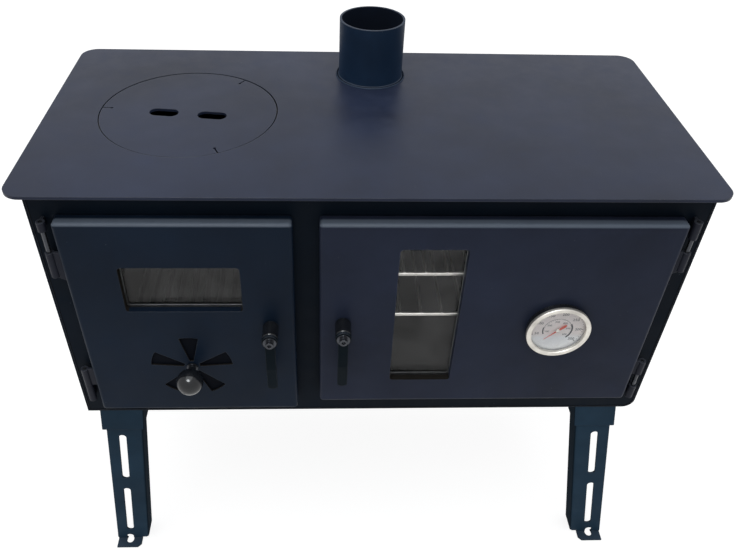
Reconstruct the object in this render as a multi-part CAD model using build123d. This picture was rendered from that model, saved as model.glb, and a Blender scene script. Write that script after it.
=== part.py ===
from build123d import *
import os
from math import sin, cos, radians

# Steel camping stove with a firebox, an oven and four lift-out legs. Millimetres.
# The front faces -Y, +Z is up and the legs stand on Z = 0.

# body box
body_w = 711.0
body_d = 320.0
body_h = 337.7
wrap_t = 2.5
wrap_corner_r = 14.0
side_t = 3.0
panel_t = 2.0

# top plate, with its overhang on each side of the body
plate_top_z = 658.0
plate_t = 3.5
plate_corner_r = 20.0
plate_over_left = 16.4
plate_over_right = 12.6
plate_over_front = 15.4
plate_over_back = 14.9

# hob hole, its rest ring and the lift-out lid
hob_from_left = 145.6
hob_y = 2.4
hob_hole_r = 102.8
lid_gap = 1.4
lid_shift = 0.9
hob_ring_in = 11.0
hob_ring_out = 9.0
hob_ring_t = 2.5
lid_slot_l = 34.0
lid_slot_w = 17.5
lid_slot_pitch = 56.4
lid_slot_turn = -6.5
lid_slot_set = 5.4
lid_slit_l = 10.6
lid_slit_w = 1.6
lid_slit_hole_r = 1.7
lid_slit_turn = 55.0

# flue collar and its weld bead
flue_x = 6.5
flue_from_back = 53.3
flue_r = 40.2
flue_t = 2.6
flue_h = 73.0
flue_drop = 8.0
flue_bead = 2.0
weld_gap = 0.05

# mouths in the front panel, set from the body's sides, its floor and the door tops
mouth_corner_r = 6.0
fire_mouth_side = 41.5
fire_mouth_w = 215.0
fire_mouth_up = 37.2
oven_mouth_side = 43.5
oven_mouth_up = 53.2

# inner walls
partition_from_mouth = 25.0
partition_t = 2.5
partition_drop = 50.5
smoke_gap = 9.5
liner_t = 2.0
liner_lip_l = 18.0
liner_lip = 6.0
liner_bend_r = 6.0
liner_back_gap = 30.0

# oven racks and their rails
rack_up_upper = 168.5
rack_up_lower = 106.5
rack_frame_r = 2.4
rack_wire_r = 1.5
rack_wire_lift = 2.04
rack_wires = 13
rack_gap = 3.0
rack_corner_r = 14.0
rack_front_gap = 6.0
rack_back_gap = 12.0
rack_seat = 0.3
rail_w = 12.0
rail_h = 10.0
rail_t = 1.5
rail_front_gap = 8.0
rail_back_gap = 14.0

# firebox grate
grate_up = 26.7
grate_t = 5.0
grate_gap = 4.0
grate_slot_w = 9.0
grate_slot_l = 108.0
grate_slot_pitch = 19.0
grate_slots = 12
grate_rib = 16.0
ledge_w = 14.0
ledge_t = 2.5

# doors, lapping over their mouths
door_out = 18.0
door_t = 2.0
door_gap = 1.5
door_bend_r = 4.5
door_bend_step = 0.2
door_top_drop = 27.5
fire_lap_left = 13.9
fire_lap_right = 13.3
fire_lap_top = 14.0
fire_lap_bottom = 13.8
oven_lap = 16.0
oven_lap_bottom = 16.4

# windows
window_r = 4.0
collar_t = 1.5
collar_d = 6.0
fire_win_shift = -0.6
fire_win_down = 88.5
fire_win_w = 128.4
fire_win_h = 62.6
oven_win_from_left = 121.8
oven_win_up = 140.2
oven_win_w = 73.5
oven_win_h = 202.0
glass_t = 4.0
glass_lap = 9.0
retainer_t = 1.5
retainer_out = 9.0
retainer_in = 3.0
stud_r = 2.0
stud_from_end = 6.0
stud_nut_r = 3.6
stud_nut_t = 3.2
stud_tail = 1.5

# air rosette and its turning disc
rose_shift = -2.0
rose_up = 77.8
rose_r = 48.0
rose_hub_r = 9.5
rose_petals = 5
rose_petal_deg = 27.0
air_disc_r = 53.0
air_disc_t = 1.5
air_gap = 0.4
air_spindle_r = 3.0
air_spindle_tail = 1.0
air_washer_r = 6.5
air_washer_t = 2.0
air_stem_r = 4.5
air_ball_r = 15.5
air_ball_out = 24.0
air_nut_r = 6.0
air_nut_t = 5.0
run_gap = 0.06

# latches
fire_latch_in = 27.6
fire_latch_up = 144.3
oven_latch_in = 26.5
oven_latch_up = 135.4
latch_shaft_r = 5.0
latch_bush_r = 8.0
latch_sleeve_r = 9.2
latch_sleeve_l = 22.0
latch_round = 2.2
latch_seat = 0.4
lever_t = 4.0
lever_w = 11.5
lever_l = 83.0
lever_bend_at = 44.0
lever_bend_deg = 8.0
screw_washer_r = 7.6
screw_washer_t = 1.4
screw_head_r = 4.6
screw_head_h = 4.4
screw_hex = 4.4
screw_hex_d = 2.6
screw_thread_r = 2.5
screw_thread_l = 10.0
tongue_l = 24.5
tongue_w = 12.0
tongue_t = 4.0
tongue_behind = 1.6

# hinges: ends of the body knuckle, then of the door knuckle, down from the door's top or up from its foot
fire_hinge_side = 12.0
oven_hinge_side = 10.7
hinge_out = 9.0
knuckle_r = 4.6
hinge_pin_r = 2.5
hinge_web_t = 3.0
fire_hinge_down = (14.5, 3.0, 42.5, 75.0)
fire_hinge_up = (37.8, 10.8, 38.6, 65.8)
oven_hinge_down = (23.0, 1.0, 41.0, 67.0)
oven_hinge_up = (17.4, -3.6, 39.4, 61.4)

# thermometer
thermo_in = 112.7
thermo_up = 128.9
bezel_r = 37.0
bezel_w = 5.5
bezel_t = 5.0
case_r = 35.2
case_d = 6.5
case_t = 0.8
dial_t = 0.6
dial_set = 1.6
dial_gap = 0.3
lens_t = 1.5
lens_set = 1.9
needle_set = 0.6
needle_l = 27.0
needle_tail = 9.0
needle_w = 3.4
needle_t = 0.5
needle_hub_r = 2.6
needle_deg = 191.0
post_r = 1.0
stem_r = 4.0
stem_l = 18.0
thermo_nut_r = 9.0
thermo_nut_t = 4.0

# legs and their sockets, with the legs' outer edges given a little under the body
leg_splay_left = 6.7
leg_splay_right = 10.9
leg_in_left = 12.7
leg_in_right = 15.0
leg_edge_drop = 54.8
leg_w = 46.8
leg_flange = 28.0
leg_t = 2.5
leg_bend_r = 4.0
leg_top_gap = 0.3
leg_behind_front = 4.5
leg_slot_w = 9.8
leg_slot_in = 19.9
leg_slot_upper = 99.7
leg_slot_lower = 110.9
leg_slot_web = 24.4
foot_l = 15.0
foot_w = 36.5
foot_shoulder_z = 5.0
foot_cut = 5.0
foot_hole_w = 10.5
foot_hole_low = 1.0
foot_hole_h = 12.0
foot_hole_out = 8.0
foot_hole_in = 4.0
socket_t = 2.0
socket_gap = 0.5
socket_outer_gap = 3.5
socket_h = 42.0

# overrun of cuts past a face
over = 1.0

# derived places
plate_under_z = plate_top_z - plate_t
body_bottom_z = plate_under_z - body_h
body_l = -body_w / 2
body_r = body_w / 2
front_y = -body_d / 2
back_y = body_d / 2
panel_back_y = front_y + panel_t
floor_top_z = body_bottom_z + wrap_t
plate_l = body_l - plate_over_left
plate_r = body_r + plate_over_right
plate_w = plate_r - plate_l
plate_front_y = front_y - plate_over_front
plate_back_y = back_y + plate_over_back
plate_d = plate_back_y - plate_front_y
hob_x = body_l + hob_from_left
flue_y = back_y - flue_from_back
door_face_y = front_y - door_out
door_inner_y = door_face_y + door_t
door_top_z = plate_under_z - door_top_drop
fire_mouth_l = body_l + fire_mouth_side
fire_mouth_r = fire_mouth_l + fire_mouth_w
fire_mouth_b = body_bottom_z + fire_mouth_up
fire_mouth_t = door_top_z - fire_lap_top
partition_x = fire_mouth_r + partition_from_mouth
partition_top_z = plate_under_z - partition_drop
liner_l = partition_x + partition_t + smoke_gap + liner_t
oven_mouth_l = liner_l + liner_lip_l
oven_mouth_r = body_r - oven_mouth_side
oven_mouth_b = body_bottom_z + oven_mouth_up
oven_mouth_t = door_top_z - oven_lap
liner_r = oven_mouth_r + liner_lip
liner_b = oven_mouth_b - liner_lip
liner_top = oven_mouth_t + liner_lip
liner_d = body_d - 2 * panel_t - liner_back_gap
rail_d = liner_d - liner_t - rail_front_gap - rail_back_gap
rack_z_upper = oven_mouth_b + rack_up_upper
rack_z_lower = oven_mouth_b + rack_up_lower
grate_z = floor_top_z + grate_up
fire_door_l = fire_mouth_l - fire_lap_left
fire_door_r = fire_mouth_r + fire_lap_right
fire_door_b = fire_mouth_b - fire_lap_bottom
fire_door_x = (fire_door_l + fire_door_r) / 2
oven_door_l = oven_mouth_l - oven_lap
oven_door_r = oven_mouth_r + oven_lap
oven_door_b = oven_mouth_b - oven_lap_bottom
fire_win_x = fire_door_x + fire_win_shift
fire_win_z = door_top_z - fire_win_down
oven_win_x = oven_door_l + oven_win_from_left
oven_win_z = oven_door_b + oven_win_up
rose_x = fire_door_x + rose_shift
rose_z = fire_door_b + rose_up
fire_latch_x = fire_door_r - fire_latch_in
fire_latch_z = fire_door_b + fire_latch_up
oven_latch_x = oven_door_l + oven_latch_in
oven_latch_z = oven_door_b + oven_latch_up
thermo_x = oven_door_r - thermo_in
thermo_z = oven_door_b + thermo_up
hinge_y = front_y - hinge_out
fire_hinge_x = fire_door_l - fire_hinge_side
oven_hinge_x = oven_door_r + oven_hinge_side
fire_hinge_zs = [[door_top_z - s for s in fire_hinge_down], [fire_door_b + s for s in fire_hinge_up]]
oven_hinge_zs = [[door_top_z - s for s in oven_hinge_down], [oven_door_b + s for s in oven_hinge_up]]
leg_edge_z = body_bottom_z - leg_edge_drop
leg_edge_left = body_w / 2 - leg_in_left
leg_edge_right = body_w / 2 - leg_in_right
leg_y = front_y + leg_behind_front


def span(x0, x1, y0, y1, z0, z1):
    """Box between two corners."""
    return Pos((x0 + x1) / 2, (y0 + y1) / 2, (z0 + z1) / 2) * Box(x1 - x0, y1 - y0, z1 - z0)


def group(pieces):
    """Several separate solids as one shape."""
    return Compound([solid for piece in pieces for solid in piece.solids()])


def front_plane(y):
    """Plane facing the front, with X to the right and Z up."""
    return Plane(origin=(0, y, 0), x_dir=(1, 0, 0), z_dir=(0, -1, 0))


def plate_xz(sketch, y_front, t):
    """Sheet with its front face at y_front and its back face t behind."""
    return extrude(front_plane(y_front + t) * sketch, amount=t, dir=(0, -1, 0))


def rect_xz(x0, x1, z0, z1, r=0.0):
    """Rectangle sketch between two corners, with rounded corners."""
    shape = RectangleRounded(x1 - x0, z1 - z0, r) if r else Rectangle(x1 - x0, z1 - z0)
    return Pos((x0 + x1) / 2, (z0 + z1) / 2) * shape


def rod_y(x, z, r, y_front, y_back):
    """Round rod along Y."""
    return plate_xz(Pos(x, z) * Circle(r), y_front, y_back - y_front)


def ring_y(x, z, r_out, r_in, y_front, y_back):
    """Washer or tube along Y."""
    return plate_xz(Pos(x, z) * (Circle(r_out) - Circle(r_in)), y_front, y_back - y_front)


def hex_y(x, z, r, y_front, y_back):
    """Hexagonal bar along Y, r to its flats."""
    shape = RegularPolygon(radius=r, side_count=6, major_radius=False)
    return plate_xz(Pos(x, z) * shape, y_front, y_back - y_front)


def nut_y(x, z, r, r_in, y_front, y_back):
    """Hexagonal nut along Y."""
    shape = RegularPolygon(radius=r, side_count=6, major_radius=False) - Circle(r_in)
    return plate_xz(Pos(x, z) * shape, y_front, y_back - y_front)


def rod_z(x, y, r, z0, z1):
    """Round rod along Z."""
    return Pos(x, y, (z0 + z1) / 2) * Cylinder(r, z1 - z0)


# shell


def body_wrap():
    """Floor and right side bent from one sheet."""
    def outline(inset):
        x_in = body_l + side_t
        x_out = body_r - inset
        z_low = body_bottom_z + inset
        r = wrap_corner_r - inset
        return [(x_in, z_low), (x_out - r, z_low), (x_out, z_low + r), (x_out, plate_under_z)]
    outer = outline(0.0)
    inner = outline(wrap_t)
    edges = [
        Line(outer[0], outer[1]),
        TangentArc(outer[1], outer[2], tangent=(1, 0)),
        Line(outer[2], outer[3]),
        Line(outer[3], inner[3]),
        Line(inner[3], inner[2]),
        TangentArc(inner[2], inner[1], tangent=(0, -1)),
        Line(inner[1], inner[0]),
        Line(inner[0], outer[0]),
    ]
    return plate_xz(make_face(edges), front_y, body_d)


def side_plate_left():
    """Flat side plate of the firebox."""
    return span(body_l, body_l + side_t, front_y, back_y, body_bottom_z, plate_under_z)


def inset_outline():
    """Outline of the front and back panels, which sit inside the wrap."""
    x0 = body_l + side_t
    x1 = body_r - wrap_t
    face = rect_xz(x0, x1, floor_top_z, plate_under_z)
    corner = face.vertices().sort_by(Axis.Y)[:2].sort_by(Axis.X)[-1]
    return fillet(corner, wrap_corner_r - wrap_t)


def front_panel():
    """Front panel with the firebox mouth and the oven mouth."""
    fire = rect_xz(fire_mouth_l, fire_mouth_r, fire_mouth_b, fire_mouth_t, mouth_corner_r)
    oven = rect_xz(oven_mouth_l, oven_mouth_r, oven_mouth_b, oven_mouth_t, mouth_corner_r)
    return plate_xz(inset_outline() - fire - oven, front_y, panel_t)


def back_panel():
    """Plain back panel."""
    return plate_xz(inset_outline(), back_y - panel_t, panel_t)


def fire_partition():
    """Wall between the firebox and the oven, with the smoke way over it."""
    y1 = back_y - panel_t
    return span(partition_x, partition_x + partition_t, panel_back_y, y1, floor_top_z, partition_top_z)


def oven_liner():
    """Open-fronted oven box behind the oven mouth."""
    outer = rect_xz(liner_l - liner_t, liner_r + liner_t, liner_b - liner_t, liner_top + liner_t,
                    liner_bend_r)
    inner = rect_xz(liner_l, liner_r, liner_b, liner_top, liner_bend_r - liner_t)
    shell = plate_xz(outer, panel_back_y, liner_d)
    return shell - plate_xz(inner, panel_back_y, liner_d - liner_t)


def rail_top(rack_z):
    """Height of the rail that carries a rack."""
    return rack_z - rack_frame_r - rack_seat


def rack_rails():
    """Four angle rails on the oven walls."""
    rails = []
    y0 = panel_back_y + rail_front_gap
    for rack_z in (rack_z_lower, rack_z_upper):
        top = rail_top(rack_z)
        left = span(liner_l, oven_mouth_l + rail_w, y0, y0 + rail_d, top - rail_t, top)
        left += span(liner_l, liner_l + rail_t, y0, y0 + rail_d, top - rail_h, top - rail_t)
        right = span(oven_mouth_r - rail_w, liner_r, y0, y0 + rail_d, top - rail_t, top)
        right += span(liner_r - rail_t, liner_r, y0, y0 + rail_d, top - rail_h, top - rail_t)
        rails += [left, right]
    return group(rails)


def oven_rack(rack_z):
    """Chromed wire rack: a bent frame with cross wires welded on top."""
    x0 = oven_mouth_l + rack_gap + rack_frame_r
    x1 = oven_mouth_r - rack_gap - rack_frame_r
    y0 = panel_back_y + rack_front_gap + rack_frame_r
    y1 = panel_back_y + liner_d - liner_t - rack_back_gap - rack_frame_r
    path = Plane.XY * Pos((x0 + x1) / 2, (y0 + y1) / 2) * RectangleRounded(x1 - x0, y1 - y0, rack_corner_r)
    wire = path.wire()
    start = wire @ 0
    heading = wire % 0
    frame = sweep(Plane(origin=start, z_dir=heading) * Circle(rack_frame_r), path=wire)
    pitch = (x1 - x0) / (rack_wires + 1)
    rack = frame
    for i in range(rack_wires):
        x = x0 + pitch * (i + 1)
        rod = Pos(x, (y0 + y1) / 2, rack_wire_lift) * Rot(90, 0, 0) * Cylinder(rack_wire_r, y1 - y0 + rack_frame_r)
        rack += rod
    return Pos(0, 0, rack_z) * rack


def fire_grate():
    """Slotted steel grate over the firebox floor."""
    x0 = body_l + side_t + grate_gap
    x1 = partition_x - grate_gap
    y0 = panel_back_y + grate_gap
    y1 = back_y - panel_t - grate_gap
    plate = span(x0, x1, y0, y1, grate_z, grate_z + grate_t)
    xm = (x0 + x1) / 2
    ym = (y0 + y1) / 2
    slot = Rot(0, 0, 90) * SlotOverall(grate_slot_l, grate_slot_w)
    shift = (grate_slot_l + grate_rib) / 2
    holes = Sketch()
    for i in range(grate_slots):
        x = xm + (i - (grate_slots - 1) / 2) * grate_slot_pitch
        holes += Pos(x, ym - shift) * slot
        holes += Pos(x, ym + shift) * slot
    return plate - extrude(Pos(0, 0, grate_z) * holes, amount=grate_t)


def grate_ledges():
    """Two strips that carry the grate."""
    y0 = panel_back_y
    y1 = back_y - panel_t
    left = span(body_l + side_t, body_l + side_t + ledge_w, y0, y1, grate_z - ledge_t, grate_z)
    right = span(partition_x - ledge_w, partition_x, y0, y1, grate_z - ledge_t, grate_z)
    return group([left, right])


# top


def top_plate():
    """Top plate with the hob hole and the flue hole."""
    xm = (plate_l + plate_r) / 2
    ym = (plate_front_y + plate_back_y) / 2
    face = Pos(xm, ym) * RectangleRounded(plate_w, plate_d, plate_corner_r)
    face -= Pos(hob_x, hob_y) * Circle(hob_hole_r)
    face -= Pos(flue_x, flue_y) * Circle(flue_r + flue_bead + weld_gap)
    return extrude(Pos(0, 0, plate_under_z) * face, amount=plate_t)


def hob_ring():
    """Flat ring under the plate that the lid rests on."""
    ring = Circle(hob_hole_r + hob_ring_out) - Circle(hob_hole_r - hob_ring_in)
    return extrude(Pos(hob_x, hob_y, plate_under_z - hob_ring_t) * ring, amount=hob_ring_t)


def hob_lid():
    """Round lid with two lifting slots and three relief slits."""
    r = hob_hole_r - lid_gap
    face = Circle(r)
    grip = SlotOverall(lid_slot_l, lid_slot_w)
    for side in (-1, 1):
        face -= Rot(0, 0, lid_slot_turn) * Pos(side * lid_slot_pitch / 2, -lid_slot_set) * grip
    for k in range(3):
        turn = Rot(0, 0, lid_slit_turn + 120 * k)
        face -= turn * Pos(r + over / 2 - lid_slit_l / 2, 0) * Rectangle(lid_slit_l + over, lid_slit_w)
        face -= turn * Pos(r - lid_slit_l, 0) * Circle(lid_slit_hole_r)
    return extrude(Pos(hob_x, hob_y - lid_shift, plate_under_z) * face, amount=plate_t)


def flue_collar():
    """Tube that the flue pipe goes over, with the weld bead that fills its hole in the plate."""
    low = plate_under_z - flue_drop
    ring = Circle(flue_r) - Circle(flue_r - flue_t)
    tube = extrude(Pos(flue_x, flue_y, low) * ring, amount=plate_top_z + flue_h - low)
    inside = flue_r - flue_t / 2
    outside = flue_r + flue_bead
    corners = [(inside, -plate_t), (outside, -plate_t), (outside, 0), (flue_r, flue_bead), (inside, flue_bead)]
    bead = revolve(Plane.XZ * make_face(Polyline(*corners, close=True)), Axis.Z)
    return tube + Pos(flue_x, flue_y, plate_top_z) * bead


# hinges


def hinge_bracket(x, z0, z1):
    """Pin knuckle welded to the front panel by its web."""
    low = min(z0, z1)
    high = max(z0, z1)
    knuckle = rod_z(x, hinge_y, knuckle_r, low, high)
    web = span(x - hinge_web_t / 2, x + hinge_web_t / 2, hinge_y, front_y, low, high)
    return knuckle + web - rod_z(x, hinge_y, hinge_pin_r + run_gap, low - over, high + over)


def hinge_lug(x, door_x, z0, z1, taper_low):
    """Door knuckle with a tapered web to the door's edge."""
    low = min(z0, z1)
    high = max(z0, z1)
    knuckle = rod_z(x, hinge_y, knuckle_r, low, high)
    taper = abs(door_x - x) / 2 if taper_low else 0
    points = [(x, high), (door_x, high), (door_x, low - taper), (x, low)]
    web = plate_xz(make_face(Polyline(*points, close=True)), hinge_y - hinge_web_t / 2, hinge_web_t)
    return knuckle + web - rod_z(x, hinge_y, hinge_pin_r + run_gap, low - taper - over, high + over)


def hinge_pin(x, zs):
    """Pin from the body knuckle through the door knuckle."""
    return rod_z(x, hinge_y, hinge_pin_r, min(zs), max(zs))


def hinge_brackets():
    """Body knuckles of both doors."""
    solids = [hinge_bracket(fire_hinge_x, a, b) for a, b, c, d in fire_hinge_zs]
    solids += [hinge_bracket(oven_hinge_x, a, b) for a, b, c, d in oven_hinge_zs]
    return group(solids)


def hinge_pins():
    """Pins of both doors."""
    solids = [hinge_pin(fire_hinge_x, zs) for zs in fire_hinge_zs]
    solids += [hinge_pin(oven_hinge_x, zs) for zs in oven_hinge_zs]
    return group(solids)


def hinge_lugs(x, door_x, hinge_zs):
    """Door knuckles of one door."""
    solids = []
    for i, (a, b, c, d) in enumerate(hinge_zs):
        solids.append(hinge_lug(x, door_x, c, d, i == 0))
    return group(solids)


# doors


def door_pan(x0, x1, z0, z1):
    """Pan with four folded edges and rounded bends."""
    depth = door_out - door_gap
    outer = span(x0, x1, door_face_y, door_face_y + depth, z0, z1)
    outer = fillet(outer.edges().filter_by(Axis.Y), door_bend_r)
    outer = fillet(outer.faces().sort_by(Axis.Y)[0].edges(), door_bend_r - door_bend_step)
    r = door_bend_r - door_t
    inner = span(x0 + door_t, x1 - door_t, door_inner_y, door_face_y + depth + over, z0 + door_t, z1 - door_t)
    inner = fillet(inner.edges().filter_by(Axis.Y), r)
    inner = fillet(inner.faces().sort_by(Axis.Y)[0].edges(), r - door_bend_step)
    return outer - inner


def window_cut(x, z, w, h):
    """Window opening through the door sheet."""
    return plate_xz(Pos(x, z) * RectangleRounded(w, h, window_r), door_face_y - over, door_t + 2 * over)


def window_collar(x, z, w, h):
    """Rim folded inwards round a window."""
    outer = RectangleRounded(w + 2 * collar_t, h + 2 * collar_t, window_r + collar_t)
    ring = outer - RectangleRounded(w, h, window_r)
    return plate_xz(Pos(x, z) * ring, door_inner_y, collar_d)


def window_glass(x, z, w, h):
    """Heat-proof glass behind the collar."""
    face = Rectangle(w + 2 * glass_lap, h + 2 * glass_lap)
    return plate_xz(Pos(x, z) * face, door_inner_y + collar_d, glass_t)


def stud_spots(x, z, w, h):
    """Places of the four retainer studs, outside the glass."""
    dx = w / 2 + glass_lap + retainer_out / 2
    dz = h / 2 - stud_from_end
    return [(x - dx, z - dz), (x - dx, z + dz), (x + dx, z - dz), (x + dx, z + dz)]


def glass_frame(x, z, w, h):
    """Flat retainer ring that clamps the glass."""
    y = door_inner_y + collar_d + glass_t
    ring = Rectangle(w + 2 * (glass_lap + retainer_out), h + 2 * (glass_lap + retainer_in))
    ring -= RectangleRounded(w, h, window_r)
    frame = plate_xz(Pos(x, z) * ring, y, retainer_t)
    for sx, sz in stud_spots(x, z, w, h):
        frame -= rod_y(sx, sz, stud_r + run_gap, y - over, y + retainer_t + over)
    return frame


def glass_studs(x, z, w, h):
    """Welded studs with their nuts."""
    y = door_inner_y + collar_d + glass_t + retainer_t
    solids = []
    for sx, sz in stud_spots(x, z, w, h):
        stud = rod_y(sx, sz, stud_r, door_inner_y, y + stud_nut_t + stud_tail)
        solids.append(stud + hex_y(sx, sz, stud_nut_r, y, y + stud_nut_t))
    return group(solids)


def petals(r_in, r_out, turn):
    """Ring of rosette openings."""
    half = rose_petal_deg / 2
    shape = Sketch()
    for k in range(rose_petals):
        mid = 90 + turn + 360 / rose_petals * k
        a = radians(mid - half)
        m = radians(mid)
        b = radians(mid + half)
        edges = [
            Line((r_in * cos(a), r_in * sin(a)), (r_out * cos(a), r_out * sin(a))),
            ThreePointArc((r_out * cos(a), r_out * sin(a)), (r_out * cos(m), r_out * sin(m)),
                          (r_out * cos(b), r_out * sin(b))),
            Line((r_out * cos(b), r_out * sin(b)), (r_in * cos(b), r_in * sin(b))),
            ThreePointArc((r_in * cos(b), r_in * sin(b)), (r_in * cos(m), r_in * sin(m)),
                          (r_in * cos(a), r_in * sin(a))),
        ]
        shape += make_face(edges)
    return shape


def door_bore(x, z, r):
    """Round bore through the door sheet."""
    return rod_y(x, z, r, door_face_y - over, door_inner_y + over)


def firebox_door_panel():
    """Firebox door with its window, air rosette and bores."""
    pan = door_pan(fire_door_l, fire_door_r, fire_door_b, door_top_z)
    pan -= window_cut(fire_win_x, fire_win_z, fire_win_w, fire_win_h)
    pan += window_collar(fire_win_x, fire_win_z, fire_win_w, fire_win_h)
    pan -= plate_xz(Pos(rose_x, rose_z) * petals(rose_hub_r, rose_r, 0), door_face_y - over, door_t + 2 * over)
    pan -= door_bore(rose_x, rose_z, air_spindle_r + run_gap)
    pan -= door_bore(fire_latch_x, fire_latch_z, latch_bush_r + weld_gap)
    return pan


def oven_door_panel():
    """Oven door with its window, thermometer hole and latch bore."""
    pan = door_pan(oven_door_l, oven_door_r, oven_door_b, door_top_z)
    pan -= window_cut(oven_win_x, oven_win_z, oven_win_w, oven_win_h)
    pan += window_collar(oven_win_x, oven_win_z, oven_win_w, oven_win_h)
    pan -= door_bore(thermo_x, thermo_z, stem_r + run_gap)
    pan -= door_bore(oven_latch_x, oven_latch_z, latch_bush_r + weld_gap)
    return pan


# air control


def air_disc():
    """Disc behind the rosette, shut at rest."""
    y = door_inner_y + air_gap
    disc = Circle(air_disc_r) - petals(rose_hub_r, rose_r, 180 / rose_petals)
    disc -= Circle(air_spindle_r + weld_gap)
    return plate_xz(Pos(rose_x, rose_z) * disc, y, air_disc_t)


def air_spindle():
    """Threaded spindle from the ball to the back nut."""
    y1 = door_inner_y + air_gap + air_disc_t + air_nut_t + air_spindle_tail
    return rod_y(rose_x, rose_z, air_spindle_r, door_face_y - air_ball_out + air_ball_r / 2, y1)


def air_knob():
    """Ball knob with a short stem, bored for the spindle."""
    r_in = air_spindle_r + weld_gap
    bore = air_ball_r / 2
    tail = air_ball_out - air_gap - air_washer_t
    neck = (air_ball_r ** 2 - air_stem_r ** 2) ** 0.5
    edges = [
        Line((0, bore), (r_in, bore)),
        Line((r_in, bore), (r_in, tail)),
        Line((r_in, tail), (air_stem_r, tail)),
        Line((air_stem_r, tail), (air_stem_r, neck)),
        ThreePointArc((air_stem_r, neck), (air_ball_r, 0), (0, -air_ball_r)),
        Line((0, -air_ball_r), (0, bore)),
    ]
    knob = revolve(make_face(edges), Axis.Y)
    return Pos(rose_x, door_face_y - air_ball_out, rose_z) * knob


def air_nuts():
    """Washer under the knob and nut behind the disc."""
    r_in = air_spindle_r + weld_gap
    y0 = door_face_y - air_gap
    washer = ring_y(rose_x, rose_z, air_washer_r, r_in, y0 - air_washer_t, y0)
    y1 = door_inner_y + air_gap + air_disc_t
    nut = nut_y(rose_x, rose_z, air_nut_r, r_in, y1, y1 + air_nut_t)
    return group([washer, nut])


# latches


def latch_bush(x, z):
    """Bush welded through the door sheet."""
    return ring_y(x, z, latch_bush_r, latch_shaft_r + run_gap, door_face_y, front_y - door_gap)


def lever_front_y():
    """Front face of the lever's eye."""
    return door_face_y - latch_seat - latch_sleeve_l - lever_t


def latch_sleeve(x, z):
    """Turned sleeve between the door and the lever."""
    y1 = door_face_y - latch_seat
    body = rod_y(x, z, latch_sleeve_r, y1 - latch_sleeve_l, y1)
    body = fillet(body.edges().filter_by(GeomType.CIRCLE), latch_round)
    return body - rod_y(x, z, latch_shaft_r + weld_gap, y1 - latch_sleeve_l - over, y1 + over)


def latch_lever(x, z):
    """Flat lever with a round eye and a set lower half."""
    y0 = lever_front_y()
    eye = Circle(latch_sleeve_r)
    upper = rect_xz(-lever_w / 2, lever_w / 2, -lever_bend_at, 0)
    lever = plate_xz(Pos(x, z) * (eye + upper), y0, lever_t)
    drop = lever_l - lever_bend_at
    lower = Pos(0, -drop / 2 + lever_w / 8) * Rectangle(lever_w, drop - lever_w / 4)
    lower += Pos(0, -drop + lever_w / 2) * Circle(lever_w / 2)
    lower = extrude(Plane.XZ * lower, amount=lever_t)
    lower = Pos(x, y0 + lever_t, z - lever_bend_at) * Rot(lever_bend_deg, 0, 0) * lower
    knee = Pos(x, y0 + lever_t, z - lever_bend_at) * Rot(0, 90, 0) * Cylinder(lever_t, lever_w)
    keep = span(x - lever_w, x + lever_w, y0, y0 + lever_t, z - lever_bend_at - lever_t, z)
    lever = lever + lower + (knee & keep)
    return lever - rod_y(x, z, screw_thread_r + weld_gap, y0 - over, y0 + lever_t + over)


def latch_shaft(x, z):
    """Shaft from the lever to the tongue, tapped for the screw."""
    y0 = lever_front_y() + lever_t
    y1 = panel_back_y + tongue_behind
    hole = rod_y(x, z, screw_thread_r + weld_gap, y0 - over, y0 + screw_thread_l + over)
    return rod_y(x, z, latch_shaft_r, y0, y1) - hole


def latch_tongue(x, z):
    """Tongue that turns behind the panel edge, pointing up when free."""
    y0 = panel_back_y + tongue_behind
    shape = rect_xz(-tongue_w / 2, tongue_w / 2, 0, tongue_l - tongue_w / 2)
    shape += Circle(tongue_w / 2)
    shape += Pos(0, tongue_l - tongue_w / 2) * Circle(tongue_w / 2)
    return plate_xz(Pos(x, z) * shape, y0, tongue_t)


def latch_screw(x, z):
    """Socket screw with its washer."""
    y0 = lever_front_y()
    washer = rod_y(x, z, screw_washer_r, y0 - screw_washer_t, y0)
    head = rod_y(x, z, screw_head_r, y0 - screw_washer_t - screw_head_h, y0 - screw_washer_t)
    thread = rod_y(x, z, screw_thread_r, y0, y0 + lever_t + screw_thread_l)
    socket = hex_y(x, z, screw_hex / 2, y0 - screw_washer_t - screw_head_h - over,
                   y0 - screw_washer_t - screw_head_h + screw_hex_d)
    return washer + head + thread - socket


# thermometer


def thermo_case():
    """Round cup of the thermometer."""
    cup = rod_y(thermo_x, thermo_z, case_r, door_face_y - case_d, door_face_y)
    hollow = rod_y(thermo_x, thermo_z, case_r - case_t, door_face_y - case_d - over, door_face_y - case_t)
    hole = rod_y(thermo_x, thermo_z, stem_r + run_gap, door_face_y - case_t - over, door_face_y + over)
    return cup - hollow - hole


def thermo_bezel():
    """Rolled rim in front of the cup."""
    y0 = door_face_y - case_d
    r_in = bezel_r - bezel_w
    points = [(r_in, 0), (case_r, 0), (bezel_r, 0.8), (bezel_r, 2.6), (bezel_r - 1.4, 4.4),
              (bezel_r - 3.4, bezel_t), (r_in + 0.6, bezel_t - 1.2), (r_in, bezel_t - 2.0)]
    face = Plane.XZ * make_face(Polyline(*points, close=True))
    ring = revolve(face, Axis.Z)
    return Pos(thermo_x, y0, thermo_z) * Rot(90, 0, 0) * ring


def thermo_dial():
    """Dial disc inside the cup."""
    r = case_r - case_t - dial_gap
    y = door_face_y - case_d + dial_set
    disc = rod_y(thermo_x, thermo_z, r, y, y + dial_t)
    return disc - rod_y(thermo_x, thermo_z, post_r + run_gap, y - over, y + dial_t + over)


def thermo_lens():
    """Glass in the bezel."""
    y = door_face_y - case_d - bezel_t + lens_set
    return rod_y(thermo_x, thermo_z, bezel_r - bezel_w - weld_gap, y, y + lens_t)


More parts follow.
